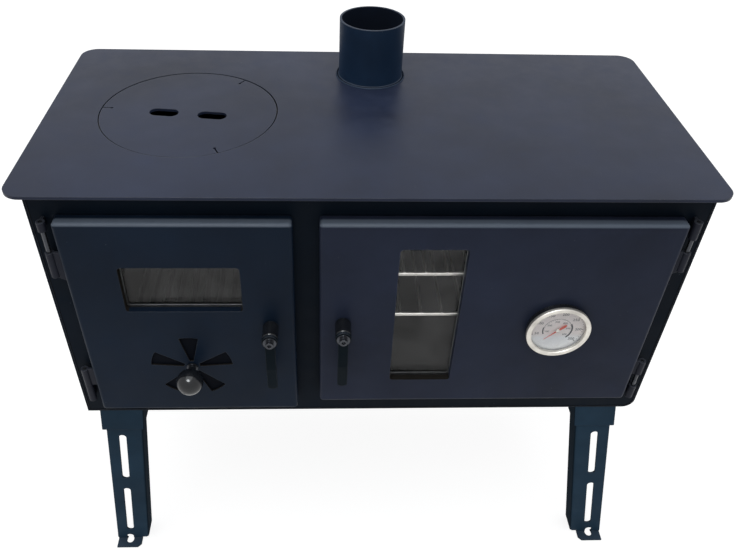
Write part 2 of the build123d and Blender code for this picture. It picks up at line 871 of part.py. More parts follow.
def thermo_stem():
    """Sensor stem through the door sheet."""
    y0 = door_face_y - case_t
    return rod_y(thermo_x, thermo_z, stem_r, y0, y0 + stem_l + door_t)


def thermo_nut():
    """Hex nut that clamps the case from behind."""
    y1 = door_inner_y + thermo_nut_t
    return nut_y(thermo_x, thermo_z, thermo_nut_r, stem_r + run_gap, door_inner_y, y1)


def thermo_pointer():
    """Needle on its hub and post."""
    y = door_face_y - case_d - needle_set
    a = needle_w / 2
    points = [(-needle_tail, a * 0.7), (-needle_tail * 0.4, a * 0.5), (needle_l * 0.3, a * 0.55),
              (needle_l * 0.62, a), (needle_l, 0), (needle_l * 0.62, -a),
              (needle_l * 0.3, -a * 0.55), (-needle_tail * 0.4, -a * 0.5), (-needle_tail, -a * 0.7)]
    shape = make_face(Polyline(*points, close=True)) + Circle(needle_hub_r)
    blade = plate_xz(Pos(thermo_x, thermo_z) * Rot(0, 0, needle_deg) * shape, y, needle_t)
    post = rod_y(thermo_x, thermo_z, post_r, y, door_face_y - case_t - dial_gap)
    return blade + post


# legs


def leg_shape():
    """Angle-section leg before it leans, outer front corner on the Z axis."""
    long = plate_top_z
    outer = span(0, leg_w, 0, leg_flange, -long, long)
    outer = fillet(outer.edges().filter_by(Axis.Z).sort_by(Axis.Y)[:2].sort_by(Axis.X)[-1], leg_bend_r)
    inner = span(-over, leg_w - leg_t, leg_t, leg_flange + over, -long, long)
    inner = fillet(inner.edges().filter_by(Axis.Z).sort_by(Axis.Y)[:2].sort_by(Axis.X)[-1], leg_bend_r - leg_t)
    shape = outer - inner
    for start, length in ((0, leg_slot_upper), (leg_slot_upper + leg_slot_web, leg_slot_lower)):
        slot = Rot(0, 0, 90) * SlotOverall(length, leg_slot_w)
        shape -= plate_xz(Pos(leg_slot_in, -start - length / 2) * slot, -over, leg_t + 2 * over)
    return shape


def foot(mid):
    """Tab at the leg's foot, bent towards the front, with its middle at mid."""
    x0 = mid - foot_w / 2
    x1 = mid + foot_w / 2
    tongue = span(x0, x1, leg_y, leg_y + leg_t, 0, foot_shoulder_z + over)
    tab = span(x0, x1, leg_y - foot_l, leg_y + leg_t, 0, leg_t)
    tab = chamfer(tab.edges().filter_by(Axis.Z).sort_by(Axis.Y)[:2].sort_by(Axis.X)[-1], foot_cut)
    shape = tongue + tab
    return fillet(shape.edges().filter_by(Axis.X).sort_by(Axis.Y)[-2:].sort_by(Axis.Z)[0], leg_t)


def foot_holes(mid):
    """Slot up the foot and slot along its tab, meeting at the bend."""
    up = Rot(0, 0, 90) * SlotOverall(foot_hole_h, foot_hole_w)
    up = plate_xz(Pos(mid, foot_hole_low + foot_hole_h / 2) * up, leg_y - leg_t / 5, leg_t + 2 * over)
    along = Rot(0, 0, 90) * SlotOverall(foot_hole_out + foot_hole_in, foot_hole_w)
    y = leg_y + (foot_hole_in - foot_hole_out) / 2
    along = extrude(Pos(mid, y, -over) * along, amount=leg_t + 2 * over)
    return up + along


def leg(edge, splay):
    """Left front leg leaning by splay, with its bent foot."""
    leaning = Pos(-edge, leg_y, leg_edge_z) * Rot(0, splay, 0) * leg_shape()
    keep = span(-plate_w, 0, -plate_d, plate_d, foot_shoulder_z, body_bottom_z - leg_top_gap)
    # middle of the slots at the foot, on the leaning line
    drop = leg_edge_z / cos(radians(splay))
    mid = -edge - drop * sin(radians(splay)) + leg_slot_in * cos(radians(splay))
    return (leaning & keep) + foot(mid) - foot_holes(mid)


def socket(edge, splay):
    """Left front socket, a folded tube round the leg."""
    place = Pos(-edge, leg_y, leg_edge_z) * Rot(0, splay, 0)
    long = plate_top_z
    x0 = -socket_outer_gap
    x1 = leg_w + socket_gap
    y0 = -socket_gap
    y1 = leg_flange + socket_gap
    tube = span(x0 - socket_t, x1 + socket_t, y0 - socket_t, y1 + socket_t, -long, long)
    tube = fillet(tube.edges().filter_by(Axis.Z), socket_t)
    tube -= span(x0, x1, y0, y1, -long, long)
    keep = span(-plate_w, 0, -plate_d, plate_d, body_bottom_z - socket_h, body_bottom_z)
    return (place * tube) & keep


def four_corners(make):
    """The piece at each corner: front left, front right, back left, back right."""
    left = make(leg_edge_left, leg_splay_left)
    right = mirror(make(leg_edge_right, leg_splay_right), Plane.YZ)
    return [left, right, mirror(left, Plane.XZ), mirror(right, Plane.XZ)]


def build():
    """All nodes by name, still in the body's own frame."""
    nodes = {
        "body_wrap": body_wrap(),
        "side_plate_left": side_plate_left(),
        "back_panel": back_panel(),
        "front_panel": front_panel(),
        "fire_partition": fire_partition(),
        "oven_liner": oven_liner(),
        "rack_rails": rack_rails(),
        "fire_grate": fire_grate(),
        "grate_ledges": grate_ledges(),
        "top_plate": top_plate(),
        "hob_ring": hob_ring(),
        "flue_collar": flue_collar(),
        "hinge_brackets": hinge_brackets(),
        "hinge_pins": hinge_pins(),
        "firebox_door_panel": firebox_door_panel(),
        "oven_door_panel": oven_door_panel(),
        "firebox_hinge_lugs": hinge_lugs(fire_hinge_x, fire_door_l, fire_hinge_zs),
        "oven_hinge_lugs": hinge_lugs(oven_hinge_x, oven_door_r, oven_hinge_zs),
        "air_disc": air_disc(),
        "air_spindle": air_spindle(),
        "air_knob": air_knob(),
        "air_nuts": air_nuts(),
        "thermo_case": thermo_case(),
        "thermo_bezel": thermo_bezel(),
        "thermo_dial": thermo_dial(),
        "thermo_lens": thermo_lens(),
        "thermo_stem": thermo_stem(),
        "thermo_nut": thermo_nut(),
        "thermo_pointer": thermo_pointer(),
        "hob_lid": hob_lid(),
        "oven_rack_upper": oven_rack(rack_z_upper),
        "oven_rack_lower": oven_rack(rack_z_lower),
    }
    windows = {
        "firebox": (fire_win_x, fire_win_z, fire_win_w, fire_win_h),
        "oven": (oven_win_x, oven_win_z, oven_win_w, oven_win_h),
    }
    spots = {
        "firebox": (fire_latch_x, fire_latch_z),
        "oven": (oven_latch_x, oven_latch_z),
    }
    for door, window in windows.items():
        nodes[door + "_glass"] = window_glass(*window)
        nodes[door + "_glass_frame"] = glass_frame(*window)
        nodes[door + "_glass_studs"] = glass_studs(*window)
    for door, spot in spots.items():
        nodes[door + "_latch_bush"] = latch_bush(*spot)
        nodes[door + "_latch_sleeve"] = latch_sleeve(*spot)
        nodes[door + "_latch_lever"] = latch_lever(*spot)
        nodes[door + "_latch_shaft"] = latch_shaft(*spot)
        nodes[door + "_latch_tongue"] = latch_tongue(*spot)
        nodes[door + "_latch_screw"] = latch_screw(*spot)
    corners = ("front_left", "front_right", "back_left", "back_right")
    for corner, leg_piece, socket_piece in zip(corners, four_corners(leg), four_corners(socket)):
        nodes["leg_" + corner] = leg_piece
        nodes["leg_socket_" + corner] = socket_piece
    return nodes


def centred(nodes):
    """Moves the stove so that its bounding box is centred over the origin."""
    boxes = [shape.bounding_box() for shape in nodes.values()]
    x = (min(b.min.X for b in boxes) + max(b.max.X for b in boxes)) / 2
    y = (min(b.min.Y for b in boxes) + max(b.max.Y for b in boxes)) / 2
    return {name: Pos(-x, -y, 0) * shape for name, shape in nodes.items()}, (-x, -y)


model = build()
model, origin_shift = centred(model)
print("origin shift", origin_shift)

os.makedirs("parts", exist_ok=True)
for node, shape in model.items():
    export_step(shape, "parts/" + node + ".step")
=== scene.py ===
from math import cos, radians, sin

import bmesh
import bpy
import numpy as np
from mathutils import Matrix, Vector


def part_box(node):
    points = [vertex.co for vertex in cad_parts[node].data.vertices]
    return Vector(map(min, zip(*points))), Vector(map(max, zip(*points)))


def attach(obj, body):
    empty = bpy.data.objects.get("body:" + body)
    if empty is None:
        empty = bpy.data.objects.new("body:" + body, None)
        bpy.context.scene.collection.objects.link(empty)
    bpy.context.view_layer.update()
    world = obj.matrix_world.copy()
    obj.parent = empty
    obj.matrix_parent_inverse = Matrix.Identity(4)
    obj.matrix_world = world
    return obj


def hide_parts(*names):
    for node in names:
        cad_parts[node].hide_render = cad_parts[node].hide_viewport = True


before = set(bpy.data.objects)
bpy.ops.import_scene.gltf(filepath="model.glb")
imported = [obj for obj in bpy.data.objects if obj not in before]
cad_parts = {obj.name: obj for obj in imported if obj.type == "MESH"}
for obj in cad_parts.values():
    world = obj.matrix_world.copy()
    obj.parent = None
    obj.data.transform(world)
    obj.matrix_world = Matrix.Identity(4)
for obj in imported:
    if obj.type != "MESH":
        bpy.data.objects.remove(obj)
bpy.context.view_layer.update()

# A black sheet-steel camping stove. Metres, front faces -Y.
print("frame loaded,", len(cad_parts), "nodes")


# node helpers

# new node; an input takes a number, a colour or another node's socket
def add(tree, kind, inputs=None, **settings):
    node = tree.nodes.new("ShaderNode" + kind)
    for key, value in settings.items():
        setattr(node, key, value)
    for key, value in (inputs or {}).items():
        if isinstance(value, bpy.types.NodeSocket):
            tree.links.new(value, node.inputs[key])
        else:
            node.inputs[key].default_value = value
    return node


def rgba(color, gain=1.0):
    return (*[c * gain for c in color], 1.0)


def calc(tree, operation, first, second=0.0):
    return add(tree, "Math", {0: first, 1: second}, operation=operation).outputs[0]


def product(tree, mask, *others):
    for other in others:
        mask = calc(tree, "MULTIPLY", mask, other)
    return mask


# from start to end in a straight line while the value goes from low to high
def ramp(tree, value, low, high, start=0.0, end=1.0):
    spread = {"Value": value, "From Min": low, "From Max": high, "To Min": start, "To Max": end}
    return add(tree, "MapRange", spread, clamp=True).outputs[0]


def noise(tree, coord, scale, detail=3.0, rough=0.5):
    grain = {"Vector": coord, "Scale": scale, "Detail": detail, "Roughness": rough}
    return add(tree, "TexNoise", grain).outputs[0]


def mixColor(tree, share, first, second):
    return add(tree, "Mix", {0: share, 6: first, 7: second}, data_type="RGBA").outputs[2]


def mixValue(tree, share, first, second):
    return add(tree, "Mix", {0: share, 2: first, 3: second}).outputs[0]


def addBump(tree, strength, depth, height, normal=None):
    relief = {"Strength": strength, "Distance": depth, "Height": height}
    if normal is not None:
        relief["Normal"] = normal
    return add(tree, "Bump", relief).outputs[0]


# empty material with its shader and output
def newMaterial(name):
    material = bpy.data.materials.new(name)
    material.use_nodes = True
    tree = material.node_tree
    tree.nodes.clear()
    shader = add(tree, "BsdfPrincipled")
    add(tree, "OutputMaterial", {"Surface": shader.outputs[0]})
    return material, tree, shader


shaderInputs = {"color": "Base Color", "rough": "Roughness", "normal": "Normal", "alpha": "Alpha"}


def feed(tree, shader, **sockets):
    for key, socket in sockets.items():
        tree.links.new(socket, shader.inputs[shaderInputs[key]])


# paint

# Each look's bend sets how strongly its folds get the painted highlight.
paintLooks = {
    # the shell is painted darker than the doors and plate: painted shade for the front panel under the
    # plate's overhang and between the doors
    "shell": {"base": (0.0025, 0.006, 0.012), "rough": 0.5, "spec": 0.055, "dust": 0.1, "bend": 0.1},
    "fireDoor": {"base": (0.005, 0.012, 0.026), "rough": 0.44, "spec": 0.085, "dust": 0.0, "bend": 1.0},
    "ovenDoor": {"base": (0.0185, 0.0245, 0.046), "rough": 0.44, "spec": 0.09, "dust": 0.0, "bend": 1.0},
    "plate": {"base": (0.0155, 0.022, 0.047), "rough": 0.36, "spec": 0.17, "dust": 0.06, "bend": 0.3},
    # the collar's inside tone is partly soot, partly painted shade deep inside the flue, dark and blue
    "collar": {"base": (0.009, 0.024, 0.054), "rough": 0.5, "spec": 0.10, "dust": 0.6, "bend": 0.2,
               "sootAndShade": (0.0008, 0.0030, 0.0085)},
    # the legs' base is lighter and bluer than the other black paint: painted light from the front and the
    # floor's bounce
    "leg": {"base": (0.019, 0.044, 0.074), "rough": 0.62, "spec": 0.06, "dust": 0.3, "bend": 0.3},
    "hinge": {"base": (0.014, 0.016, 0.026), "rough": 0.5, "spec": 0.14, "dust": 0.4, "bend": 0.2},
    "lever": {"base": (0.002, 0.006, 0.010), "rough": 0.6, "spec": 0.05, "dust": 0.3, "bend": 0.3},
    "shadow": {"base": (0.002, 0.003, 0.006), "rough": 0.7, "spec": 0.05, "dust": 0.02, "bend": 0.1},
}
# A noise is its scale, detail and roughness. A span is where a mask starts and where it is full.
paintWear = {
    "blotch": (6.0, 4.0, 0.6), "blotchSpan": (0.32, 0.68), "blotchGains": (0.72, 1.3),
    "smudge": (38.0, 5.0, 0.62), "smudgeSpan": (0.55, 0.8), "smudgeShare": 0.22, "smudgeGain": 1.9,
    "grain": (950.0, 2.0), "grainDepth": 0.00004,
    "roughSpan": (0.3, 0.75), "roughDrop": 0.05, "roughRise": 0.1,
    "bendHighlightTone": (0.115, 0.140, 0.180), "bendSpan": (0.3, 0.6), "bendWeakest": 0.75,
    "foldStart": (0.12, 0.5), "foldEnd": (0.99, 0.9), "foldFront": (-0.1, -0.35),
    "bandUp": (0.3, 0.8), "bandDepth": (0.0115, 0.0085), "bandDrop": (0.012, 0.010),
    "bandShares": (0.7, 0.95),
    "dustTone": (0.085, 0.096, 0.120), "dustUp": (0.55, 1.0), "dustSpan": (0.25, 0.75), "dustWeakest": 0.35,
    "speckScale": 130.0, "speckSize": (0.075, 0.045), "speckPick": (0.93, 0.95), "speckShare": 0.5,
    "speckGain": 1.5,
    "edgeWearHighlightTone": (0.10, 0.11, 0.13), "edgeRadius": 0.0011, "edgeTurn": (0.995, 0.88), "edgeSpan": (0.35, 0.7),
    "edgeShares": (0.25, 0.8), "edgeSamples": 4,
    "sootTone": (0.007, 0.006, 0.005), "sootGain": 2.6, "sootDepth": 0.004, "sootRough": 0.92,
    "sideShadeSpan": (0.5, 0.85), "sideShadeGain": 0.35,
}


# 1 on faces that look towards the middle of a shell, 0 on its outside
def sootMask(tree, coord, normal, center):
    arm = add(tree, "VectorMath", {0: coord, 1: center}, operation="SUBTRACT").outputs[0]
    out = add(tree, "VectorMath", {0: arm, 1: normal}, operation="DOT_PRODUCT").outputs[1]
    return ramp(tree, out, 0.0, -paintWear["sootDepth"])


# painted highlight on the folds where the sheet turns from the front to the top
def foldMask(tree, split, blotch, bend):
    wear = paintWear
    up = split.outputs[2]
    rising = ramp(tree, up, *wear["foldStart"])
    notFlat = ramp(tree, up, *wear["foldEnd"])
    forward = ramp(tree, split.outputs[1], *wear["foldFront"])
    patchy = ramp(tree, blotch, *wear["bendSpan"], bend * wear["bendWeakest"], bend)
    return product(tree, rising, notFlat, forward, patchy)


# painted highlight on the front part of a door's top flange, like the one on its fold
def bandMask(tree, coord, up, blotch, face, top):
    wear = paintWear
    spot = add(tree, "SeparateXYZ", {0: coord})
    behind = calc(tree, "SUBTRACT", spot.outputs[1], face)
    flat = ramp(tree, up, *wear["bandUp"])
    shallow = ramp(tree, behind, *wear["bandDepth"])
    high = ramp(tree, spot.outputs[2], top - wear["bandDrop"][0], top - wear["bandDrop"][1])
    patchy = ramp(tree, blotch, *wear["bendSpan"], *wear["bandShares"])
    return product(tree, flat, shallow, high, patchy)


# dust settles on what faces up
def dustMask(tree, up, smudge, dust):
    wear = paintWear
    flat = ramp(tree, up, *wear["dustUp"])
    patchy = ramp(tree, smudge, *wear["dustSpan"], wear["dustWeakest"], 1.0)
    return calc(tree, "MULTIPLY", product(tree, flat, patchy), dust)


# a few pale specks: small discs in a few cells out of a hundred
def speckMask(tree, coord):
    wear = paintWear
    cell = add(tree, "TexVoronoi", {"Vector": coord, "Scale": wear["speckScale"]})
    near = ramp(tree, cell.outputs["Distance"], *wear["speckSize"])
    draw = add(tree, "SeparateColor", {0: cell.outputs["Color"]}).outputs[0]
    chosen = ramp(tree, draw, *wear["speckPick"])
    return product(tree, near, calc(tree, "MULTIPLY", chosen, wear["speckShare"]))


# edges lightened where the rounded normal turns away from the face's own: partly rubbed-thin paint, partly a
# painted highlight
def edgeMask(tree, soft, smudge):
    wear = paintWear
    shape = add(tree, "NewGeometry").outputs["Normal"]
    turn = add(tree, "VectorMath", {0: soft, 1: shape}, operation="DOT_PRODUCT").outputs[1]
    patchy = ramp(tree, smudge, *wear["edgeSpan"], *wear["edgeShares"])
    return product(tree, ramp(tree, turn, *wear["edgeTurn"]), patchy)


# baked-on black paint: fine grain, smudges, settled dust, soot on the inside, edges lightened as wear and
# painted highlight, painted highlights on folds and door top bands, and painted shade on sideways flanges
def paint(name, kind, center=None, shadedSides=False, highlightBand=None):
    look = paintLooks[kind]
    wear = paintWear
    base = look["base"]
    material, tree, shader = newMaterial(name)
    place = add(tree, "TexCoord")
    coord = place.outputs["Object"]
    normal = place.outputs["Normal"]
    split = add(tree, "SeparateXYZ", {0: normal})
    up = split.outputs[2]
    blotch = noise(tree, coord, *wear["blotch"])
    smudge = noise(tree, coord, *wear["smudge"])
    grain = noise(tree, coord, *wear["grain"])
    tones = [rgba(base, gain) for gain in wear["blotchGains"]]
    color = mixColor(tree, ramp(tree, blotch, *wear["blotchSpan"]), *tones)
    smeared = ramp(tree, smudge, *wear["smudgeSpan"], 0.0, wear["smudgeShare"])
    color = mixColor(tree, smeared, color, rgba(base, wear["smudgeGain"]))
    # painted highlight on the folds
    color = mixColor(tree, foldMask(tree, split, blotch, look["bend"]), color, rgba(wear["bendHighlightTone"]))
    # painted highlight along the front of a door's top flange
    if highlightBand is not None:
        color = mixColor(tree, bandMask(tree, coord, up, blotch, *highlightBand), color, rgba(wear["bendHighlightTone"]))
    color = mixColor(tree, dustMask(tree, up, smudge, look["dust"]), color, rgba(wear["dustTone"]))
    color = mixColor(tree, speckMask(tree, coord), color, rgba(wear["dustTone"], wear["speckGain"]))
    soft = add(tree, "Bevel", {"Radius": wear["edgeRadius"]}, samples=wear["edgeSamples"]).outputs[0]
    # edges lightened: partly wear, partly painted highlight
    color = mixColor(tree, edgeMask(tree, soft, smudge), color, rgba(wear["edgeWearHighlightTone"]))
    rough = ramp(tree, smudge, *wear["roughSpan"], look["rough"] - wear["roughDrop"],
                 look["rough"] + wear["roughRise"])
    if center is not None:
        sootAndShade = sootMask(tree, coord, normal, center)
        # for the collar this tone is partly soot, partly painted shade
        thin = look.get("sootAndShade", wear["sootTone"])
        color = mixColor(tree, sootAndShade, color, mixColor(tree, smudge, rgba(thin), rgba(thin, wear["sootGain"])))
        rough = mixValue(tree, sootAndShade, rough, wear["sootRough"])
    if shadedSides:
        # painted shade on the flanges that face sideways: darker colour and less paint gloss
        side = ramp(tree, calc(tree, "ABSOLUTE", split.outputs[0]), *wear["sideShadeSpan"])
        color = mixColor(tree, side, color, rgba(base, wear["sideShadeGain"]))
        rough = mixValue(tree, side, rough, 1.0)
    feed(tree, shader, color=color, rough=rough, normal=addBump(tree, 1.0, wear["grainDepth"], grain, soft))
    shader.inputs["Specular IOR Level"].default_value = look["spec"]
    return material


# bare and plated metal

metalLooks = {
    "zinc": {"base": (0.42, 0.43, 0.44), "metallic": 1.0, "rough": 0.42, "spread": 0.14,
             "grain": (260.0, 260.0, 260.0)},
    "oxide": {"base": (0.060, 0.064, 0.074), "metallic": 0.8, "rough": 0.26, "spread": 0.10,
              "grain": (260.0, 260.0, 260.0)},
    "chrome": {"base": (0.97, 0.94, 0.88), "metallic": 1.0, "rough": 0.30, "spread": 0.08,
               "grain": (60.0, 600.0, 600.0)},
    "bezel": {"base": (0.74, 0.71, 0.65), "metallic": 1.0, "rough": 0.46, "spread": 0.08,
              "grain": (300.0, 60.0, 300.0)},
    "scale": {"base": (0.022, 0.019, 0.017), "metallic": 0.35, "rough": 0.78, "spread": 0.12,
              "grain": (40.0, 40.0, 40.0)},
    # the liner is near black: its own dark grey darkened further as painted shade for the inside of the
    # closed oven
    "liner": {"base": (0.016, 0.016, 0.016), "metallic": 0.5, "rough": 0.7, "spread": 0.12,
              "grain": (30.0, 30.0, 30.0)},
}
metalWear = {
    "drawn": (6.0, 3.0), "grainSpan": (0.25, 0.75), "grainStrength": 0.6, "grainDepth": 0.00003,
    "stain": (55.0, 4.0, 0.6), "stainSpan": (0.3, 0.75), "stainGain": 0.62,
    "edgeRadius": 0.0005, "edgeSamples": 4,
}


# metal with a drawn or rolled grain, stains and rounded edges
def metal(name, kind):
    look = metalLooks[kind]
    wear = metalWear
    material, tree, shader = newMaterial(name)
    coord = add(tree, "TexCoord").outputs["Object"]
    drawn = add(tree, "VectorMath", {0: coord, 1: look["grain"]}, operation="MULTIPLY").outputs[0]
    grain = noise(tree, drawn, *wear["drawn"])
    stain = noise(tree, coord, *wear["stain"])
    stained = ramp(tree, stain, *wear["stainSpan"])
    color = mixColor(tree, stained, rgba(look["base"]), rgba(look["base"], wear["stainGain"]))
    soft = add(tree, "Bevel", {"Radius": wear["edgeRadius"]}, samples=wear["edgeSamples"]).outputs[0]
    rough = ramp(tree, grain, *wear["grainSpan"], look["rough"] - look["spread"] / 2,
                 look["rough"] + look["spread"])
    relief = addBump(tree, wear["grainStrength"], wear["grainDepth"], grain, soft)
    feed(tree, shader, color=color, rough=rough, normal=relief)
    shader.inputs["Metallic"].default_value = look["metallic"]
    return material


# glass, resin and print

glassLook = {
    "tint": (0.019, 0.019, 0.019), "tintGains": (0.4, 1.8), "tintSpan": (0.35, 0.7), "ior": 1.9,
    "film": (30.0, 6.0, 0.68), "filmSpan": (0.3, 0.72), "cover": (0.10, 0.26),
    "streak": (240.0, 2.0), "streakSpan": (0.3, 0.7), "rough": (0.05, 0.14),
}


# heat-proof glass with a thin uneven film of smoke
def windowGlass():
    look = glassLook
    material, tree, shader = newMaterial("windowGlass")
    coord = add(tree, "TexCoord").outputs["Object"]
    film = noise(tree, coord, *look["film"])
    streak = noise(tree, coord, *look["streak"])
    tones = [rgba(look["tint"], gain) for gain in look["tintGains"]]
    feed(tree, shader, alpha=ramp(tree, film, *look["filmSpan"], *look["cover"]),
         color=mixColor(tree, ramp(tree, film, *look["tintSpan"]), *tones),
         rough=ramp(tree, streak, *look["streakSpan"], *look["rough"]))
    shader.inputs["IOR"].default_value = look["ior"]
    return material


lensFinish = {"tint": (0.55, 0.62, 0.72), "haze": (180.0, 3.0), "hazeSpan": (0.3, 0.8), "cover": (0.03, 0.06),
              "rough": (0.04, 0.10)}


# clear dome over the dial
def lensGlass():
    look = lensFinish
    material, tree, shader = newMaterial("lensGlass")
    coord = add(tree, "TexCoord").outputs["Object"]
    haze = noise(tree, coord, *look["haze"])
    feed(tree, shader, alpha=ramp(tree, haze, *look["hazeSpan"], *look["cover"]),
         rough=ramp(tree, haze, *look["hazeSpan"], *look["rough"]))
    shader.inputs["Base Color"].default_value = rgba(look["tint"])
    return material


resinLook = {
    "dark": (0.006, 0.007, 0.009), "light": (0.014, 0.016, 0.020), "spec": 0.38,
    "haze": (160.0, 4.0, 0.6), "hazeSpan": (0.3, 0.8), "rough": (0.10, 0.24),
    "wave": (420.0, 2.0), "waveStrength": 0.25, "waveDepth": 0.00002,
}


# glossy black moulded knob and sleeves
def resin():
    look = resinLook
    material, tree, shader = newMaterial("blackResin")
    coord = add(tree, "TexCoord").outputs["Object"]
    haze = noise(tree, coord, *look["haze"])
    wave = noise(tree, coord, *look["wave"])
    feed(tree, shader, color=mixColor(tree, haze, rgba(look["dark"]), rgba(look["light"])),
         rough=ramp(tree, haze, *look["hazeSpan"], *look["rough"]),
         normal=addBump(tree, look["waveStrength"], look["waveDepth"], wave))
    shader.inputs["Specular IOR Level"].default_value = look["spec"]
    return material


printLooks = {
    "ink": {"base": (0.030, 0.032, 0.036), "rough": (0.5, 0.62)},
    "needle": {"base": (0.72, 0.085, 0.040), "rough": (0.4, 0.52)},
}
printWear = {
    "age": (130.0, 5.0, 0.6), "ageSpan": (0.35, 0.75), "ageGain": 0.86, "roughSpan": (0.3, 0.8),
    "grain": (1800.0, 2.0), "grainStrength": 0.3, "grainDepth": 0.00002,
}


# printed surface with slight ageing
def flatPrint(name, kind):
    look = printLooks[kind]
    wear = printWear
    material, tree, shader = newMaterial(name)
    coord = add(tree, "TexCoord").outputs["Object"]
    age = noise(tree, coord, *wear["age"])
    grain = noise(tree, coord, *wear["grain"])
    aged = ramp(tree, age, *wear["ageSpan"])
    feed(tree, shader, color=mixColor(tree, aged, rgba(look["base"]), rgba(look["base"], wear["ageGain"])),
         rough=ramp(tree, age, *wear["roughSpan"], *look["rough"]),
         normal=addBump(tree, wear["grainStrength"], wear["grainDepth"], grain))
    return material


enamelLook = {
    "under": (0.96, 0.98, 1.0), "upper": (0.97, 0.90, 0.88), "step": (-0.013, -0.006),
    "stain": (0.62, 0.60, 0.56), "age": (130.0, 5.0, 0.6), "ageSpan": (0.4, 0.8), "ageShare": 0.12,
    "roughSpan": (0.3, 0.8), "rough": (0.3, 0.42),
}


# dial enamel, warm grey round the numbers, and cool white under the scale as a painted reflection of the
# glare on the lens
def dialEnamel(middle):
    look = enamelLook
    material, tree, shader = newMaterial("dialEnamel")
    coord = add(tree, "TexCoord").outputs["Object"]
    age = noise(tree, coord, *look["age"])
    up = add(tree, "SeparateXYZ", {0: coord}).outputs[2]
    share = ramp(tree, up, middle + look["step"][0], middle + look["step"][1])
    # the lower part's cool white is a painted reflection of the lens's glare
    color = mixColor(tree, share, rgba(look["under"]), rgba(look["upper"]))
    aged = ramp(tree, age, *look["ageSpan"], 0.0, look["ageShare"])
    feed(tree, shader, color=mixColor(tree, aged, color, rgba(look["stain"])),
         rough=ramp(tree, age, *look["roughSpan"], *look["rough"]))
    return material


# middle of the box round some nodes
def boxCenter(*names):
    boxes = [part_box(name) for name in names]
    low = [min(b[0][i] for b in boxes) for i in range(3)]
    high = [max(b[1][i] for b in boxes) for i in range(3)]
    return tuple((a + b) / 2 for a, b in zip(low, high))


# a door's paint knows where the door's face and top are, for its painted highlight band
def doorPaint(name, kind, node):
    low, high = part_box(node)
    return paint(name, kind, boxCenter(node), highlightBand=(low.y, high.z))


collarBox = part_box("flue_collar")
collarCenter = boxCenter("flue_collar")

materials = {
    "shell": paint("shellPaint", "shell", boxCenter("body_wrap", "side_plate_left")),
    "fireDoor": doorPaint("fireDoorPaint", "fireDoor", "firebox_door_panel"),
    "ovenDoor": doorPaint("ovenDoorPaint", "ovenDoor", "oven_door_panel"),
    "plate": paint("platePaint", "plate"),
    "collar": paint("collarPaint", "collar", collarCenter),
    "leg": paint("legPaint", "leg", shadedSides=True),
    "hinge": paint("hingePaint", "hinge"),
    "lever": paint("leverPaint", "lever"),
    "shadow": paint("darkPaint", "shadow"),
    "zinc": metal("zincSteel", "zinc"),
    "oxide": metal("blackedSteel", "oxide"),
    "chrome": metal("rackWire", "chrome"),
    "bezel": metal("bezelSteel", "bezel"),
    "scale": metal("scaledSteel", "scale"),
    "liner": metal("linerSteel", "liner"),
    "glass": windowGlass(),
    "lens": lensGlass(),
    "resin": resin(),
    "dial": dialEnamel(boxCenter("thermo_dial")[2]),
    "ink": flatPrint("dialInk", "ink"),
    "needle": flatPrint("needlePaint", "needle"),
}

legNodes = ["leg_" + end + "_" + side for end in ("front", "back") for side in ("left", "right")]
socketNodes = [name.replace("leg_", "leg_socket_") for name in legNodes]


def latchNodes(*parts):
    return [door + "_latch_" + part for door in ("firebox", "oven") for part in parts]


nodeFinish = {
    "shell": ["body_wrap", "side_plate_left", "back_panel", "front_panel"],
    "fireDoor": ["firebox_door_panel"],
    "ovenDoor": ["oven_door_panel"],
    "plate": ["top_plate", "hob_lid"],
    "collar": ["flue_collar"],
    "leg": legNodes + socketNodes,
    "hinge": ["hinge_brackets", "firebox_hinge_lugs", "oven_hinge_lugs"],
    "lever": latchNodes("lever", "bush"),
    "zinc": ["firebox_glass_frame", "oven_glass_frame", "firebox_glass_studs", "oven_glass_studs",
             "thermo_stem", "thermo_nut", *latchNodes("shaft", "tongue")],
    "oxide": ["hinge_pins", "air_spindle", "air_nuts", "thermo_case", *latchNodes("screw")],
    "shadow": ["air_disc"],
    "chrome": ["oven_rack_upper", "oven_rack_lower"],
    "bezel": ["thermo_bezel"],
    "scale": ["fire_partition", "fire_grate", "grate_ledges", "hob_ring"],
    "liner": ["oven_liner", "rack_rails"],
    "glass": ["firebox_glass", "oven_glass"],
    "lens": ["thermo_lens"],
    "resin": ["air_knob", *latchNodes("sleeve")],
    "dial": ["thermo_dial"],
    "needle": ["thermo_pointer"],
}
for finish, names in nodeFinish.items():
    for name in names:
        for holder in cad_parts[name].material_slots:
            holder.material = materials[finish]
bare = sorted(set(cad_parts) - {name for names in nodeFinish.values() for name in names})
print("materials done, nodes without one:", bare)


# surfaces

mergeGap = 1e-7


# quads between neighbours of a grid of points, wrapped round where it closes
def gridFaces(rows, columns, closeRows, closeColumns):
    i, j = np.meshgrid(np.arange(rows if closeRows else rows - 1),
                       np.arange(columns if closeColumns else columns - 1), indexing="ij")
    nextI = (i + 1) % rows
    nextJ = (j + 1) % columns
    corners = [i * columns + j, nextI * columns + j, nextI * columns + nextJ, i * columns + nextJ]
    return np.stack(corners, axis=-1).reshape(-1, 4)


# the same along an open run, with a face over each end
def runFaces(rows, columns):
    ends = [list(range(columns)), list(range((rows - 1) * columns, rows * columns))]
    return gridFaces(rows, columns, False, True).tolist() + ends


